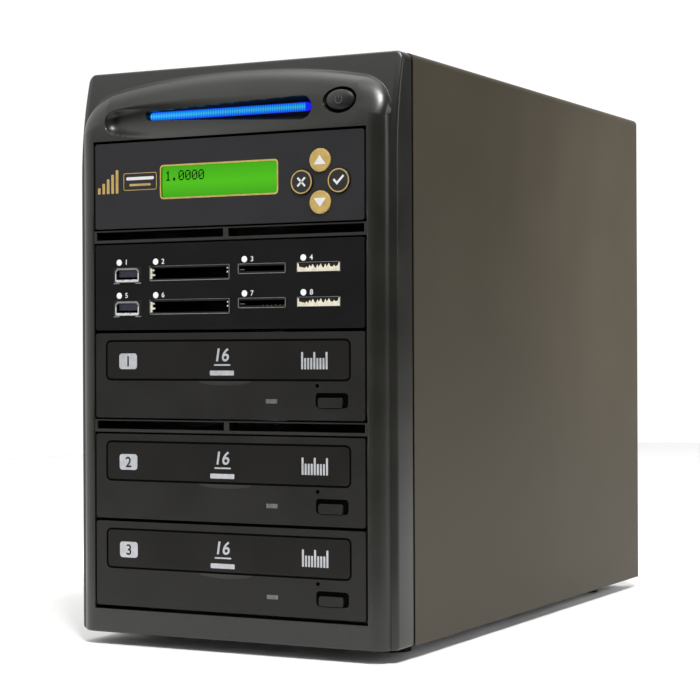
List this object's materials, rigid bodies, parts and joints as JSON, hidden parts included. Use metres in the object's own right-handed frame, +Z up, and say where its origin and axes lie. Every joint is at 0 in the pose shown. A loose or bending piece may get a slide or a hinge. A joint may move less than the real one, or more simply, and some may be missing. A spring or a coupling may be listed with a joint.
{
  "type": "disc duplicator tower",
  "caption": "Desktop tower that copies optical discs: drives with sliding trays, a card reader and a keyed display panel in a steel case with a lit front bezel.",
  "frame": {"origin": "bottom centre of the bounding box: between the feet, on the surface that they stand on", "axes": "+X to the right seen from the front, +Y from the front to the back, +Z up"},
  "size_m": [0.174, 0.3398, 0.2808],
  "materials": {
    "bezel_black": "fine textured moulding, black, slight sheen",
    "case_black": "fine textured powder coat, charcoal, satin",
    "drive_black": "fine textured moulding, black",
    "panel_charcoal": "printed polyester overlay, blue charcoal, satin",
    "panel_black": "printed overlay, black, semi gloss",
    "display_green": "back-lit green display",
    "light_blue": "clear diffuser, lit blue",
    "button_black": "smooth moulding, black",
    "key_gold": "printed gold",
    "key_black": "black with a gold ring",
    "board_green": "solder mask, green",
    "steel": "zinc-plated sheet",
    "bright_steel": "bright plated sheet",
    "socket_black": "moulded socket body",
    "lamp_white": "frosted lamp",
    "lamp_grey": "unlit lamp lens",
    "screw_steel": "zinc plated",
    "screw_black": "black oxide",
    "rubber_black": "moulded rubber",
    "fan_black": "glass-filled moulding, black",
    "chrome_wire": "bright plated wire",
    "tray_black": "moulded tray, black",
    "gear_white": "acetal, natural",
    "hub_metal": "machined"
  },
  "bodies": {
    "tower": {"front_bezel": "bezel_black", "light_bar": "light_blue", "light_board": "board_green", "control_panel": "panel_charcoal", "display_module": "display_green", "key_board": "board_green", "controller_board": "board_green", "card_panel": "panel_black", "usb_sockets": "bright_steel", "compact_card_slots": "socket_black", "memory_card_slots": "socket_black", "stick_card_slots": "bright_steel", "card_lamps": "lamp_white", "reader_board": "board_green", "drive_lamps": "lamp_grey", "drive_screws": "screw_steel", "rear_screws": "screw_black", "outer_cover": "case_black", "bottom_tray": "steel", "front_frame": "steel", "right_drive_bracket": "steel", "left_drive_bracket": "steel", "rear_panel": "case_black", "rubber_feet": "rubber_black", "case_fan_frame": "fan_black", "fan_guards": "chrome_wire", "supply_case": "steel", "mains_inlet": "socket_black", "drive_1_face": "drive_black", "drive_1_case": "steel", "drive_2_face": "drive_black", "drive_2_case": "steel", "drive_3_face": "drive_black", "drive_3_case": "steel"},
    "power_button_body": {"power_button": "button_black"},
    "key_up_body": {"key_up": "key_gold"},
    "key_down_body": {"key_down": "key_gold"},
    "key_back_body": {"key_back": "key_black"},
    "key_enter_body": {"key_enter": "key_black"},
    "case_fan_body": {"case_fan_rotor": "fan_black"},
    "supply_fan_body": {"supply_fan_rotor": "fan_black"},
    "mains_rocker_body": {"mains_rocker": "button_black"},
    "drive_1_tray_body": {"drive_1_tray": "tray_black", "drive_1_door": "drive_black"},
    "drive_1_gear_body": {"drive_1_loading_gear": "gear_white"},
    "drive_1_spindle_body": {"drive_1_spindle": "hub_metal"},
    "drive_1_sled_body": {"drive_1_laser_sled": "hub_metal"},
    "drive_1_eject_body": {"drive_1_eject_button": "drive_black"},
    "drive_2_tray_body": {"drive_2_tray": "tray_black", "drive_2_door": "drive_black"},
    "drive_2_gear_body": {"drive_2_loading_gear": "gear_white"},
    "drive_2_spindle_body": {"drive_2_spindle": "hub_metal"},
    "drive_2_sled_body": {"drive_2_laser_sled": "hub_metal"},
    "drive_2_eject_body": {"drive_2_eject_button": "drive_black"},
    "drive_3_tray_body": {"drive_3_tray": "tray_black", "drive_3_door": "drive_black"},
    "drive_3_gear_body": {"drive_3_loading_gear": "gear_white"},
    "drive_3_spindle_body": {"drive_3_spindle": "hub_metal"},
    "drive_3_sled_body": {"drive_3_laser_sled": "hub_metal"},
    "drive_3_eject_body": {"drive_3_eject_button": "drive_black"}
  },
  "joints": [
    {"name": "power_button_press", "type": "slide", "parent": "tower", "child": "power_button_body", "axis": [0, 1, 0], "range_m": [0, 0.002], "stiffness_N_per_m": 300},
    {"name": "key_up_press", "type": "slide", "parent": "tower", "child": "key_up_body", "axis": [0, 1, 0], "range_m": [0, 0.0005], "stiffness_N_per_m": 400},
    {"name": "key_down_press", "type": "slide", "parent": "tower", "child": "key_down_body", "axis": [0, 1, 0], "range_m": [0, 0.0005], "stiffness_N_per_m": 400},
    {"name": "key_back_press", "type": "slide", "parent": "tower", "child": "key_back_body", "axis": [0, 1, 0], "range_m": [0, 0.0005], "stiffness_N_per_m": 400},
    {"name": "key_enter_press", "type": "slide", "parent": "tower", "child": "key_enter_body", "axis": [0, 1, 0], "range_m": [0, 0.0005], "stiffness_N_per_m": 400},
    {"name": "case_fan_spin", "type": "hinge", "parent": "tower", "child": "case_fan_body", "pos_m": [0, 0.1653, 0.1], "axis": [0, 1, 0], "continuous": true},
    {"name": "supply_fan_spin", "type": "hinge", "parent": "tower", "child": "supply_fan_body", "pos_m": [-0.0221, 0.1653, 0.2298], "axis": [0, 1, 0], "continuous": true},
    {"name": "mains_rocker_tilt", "type": "hinge", "parent": "tower", "child": "mains_rocker_body", "pos_m": [0.04215, 0.1618, 0.2108], "axis": [-1, 0, 0], "range_deg": [0, 16]},
    {"name": "drive_1_tray_slide", "type": "slide", "parent": "tower", "child": "drive_1_tray_body", "axis": [0, -1, 0], "range_m": [0, 0.145]},
    {"name": "drive_1_gear_turn", "type": "hinge", "parent": "tower", "child": "drive_1_gear_body", "pos_m": [0.037, -0.1511, 0.1324], "axis": [0, 0, -1], "range_deg": [0, 924.1]},
    {"name": "drive_1_disc_spin", "type": "hinge", "parent": "tower", "child": "drive_1_spindle_body", "pos_m": [0, -0.1011, 0.1324], "axis": [0, 0, 1], "continuous": true},
    {"name": "drive_1_laser_slide", "type": "slide", "parent": "tower", "child": "drive_1_sled_body", "axis": [0, 1, 0], "range_m": [0, 0.034]},
    {"name": "drive_1_eject_press", "type": "slide", "parent": "tower", "child": "drive_1_eject_body", "axis": [0, 1, 0], "range_m": [0, 0.001], "stiffness_N_per_m": 300},
    {"name": "drive_2_tray_slide", "type": "slide", "parent": "tower", "child": "drive_2_tray_body", "axis": [0, -1, 0], "range_m": [0, 0.145]},
    {"name": "drive_2_gear_turn", "type": "hinge", "parent": "tower", "child": "drive_2_gear_body", "pos_m": [0.037, -0.1511, 0.0836], "axis": [0, 0, -1], "range_deg": [0, 924.1]},
    {"name": "drive_2_disc_spin", "type": "hinge", "parent": "tower", "child": "drive_2_spindle_body", "pos_m": [0, -0.1011, 0.0836], "axis": [0, 0, 1], "continuous": true},
    {"name": "drive_2_laser_slide", "type": "slide", "parent": "tower", "child": "drive_2_sled_body", "axis": [0, 1, 0], "range_m": [0, 0.034]},
    {"name": "drive_2_eject_press", "type": "slide", "parent": "tower", "child": "drive_2_eject_body", "axis": [0, 1, 0], "range_m": [0, 0.001], "stiffness_N_per_m": 300},
    {"name": "drive_3_tray_slide", "type": "slide", "parent": "tower", "child": "drive_3_tray_body", "axis": [0, -1, 0], "range_m": [0, 0.145]},
    {"name": "drive_3_gear_turn", "type": "hinge", "parent": "tower", "child": "drive_3_gear_body", "pos_m": [0.037, -0.1511, 0.0411], "axis": [0, 0, -1], "range_deg": [0, 924.1]},
    {"name": "drive_3_disc_spin", "type": "hinge", "parent": "tower", "child": "drive_3_spindle_body", "pos_m": [0, -0.1011, 0.0411], "axis": [0, 0, 1], "continuous": true},
    {"name": "drive_3_laser_slide", "type": "slide", "parent": "tower", "child": "drive_3_sled_body", "axis": [0, 1, 0], "range_m": [0, 0.034]},
    {"name": "drive_3_eject_press", "type": "slide", "parent": "tower", "child": "drive_3_eject_body", "axis": [0, 1, 0], "range_m": [0, 0.001], "stiffness_N_per_m": 300}
  ],
  "couplings": [
    {"joint": "drive_1_gear_turn", "follows": "drive_1_tray_slide", "rad_per_m": 111.11},
    {"joint": "drive_2_gear_turn", "follows": "drive_2_tray_slide", "rad_per_m": 111.11},
    {"joint": "drive_3_gear_turn", "follows": "drive_3_tray_slide", "rad_per_m": 111.11}
  ]
}
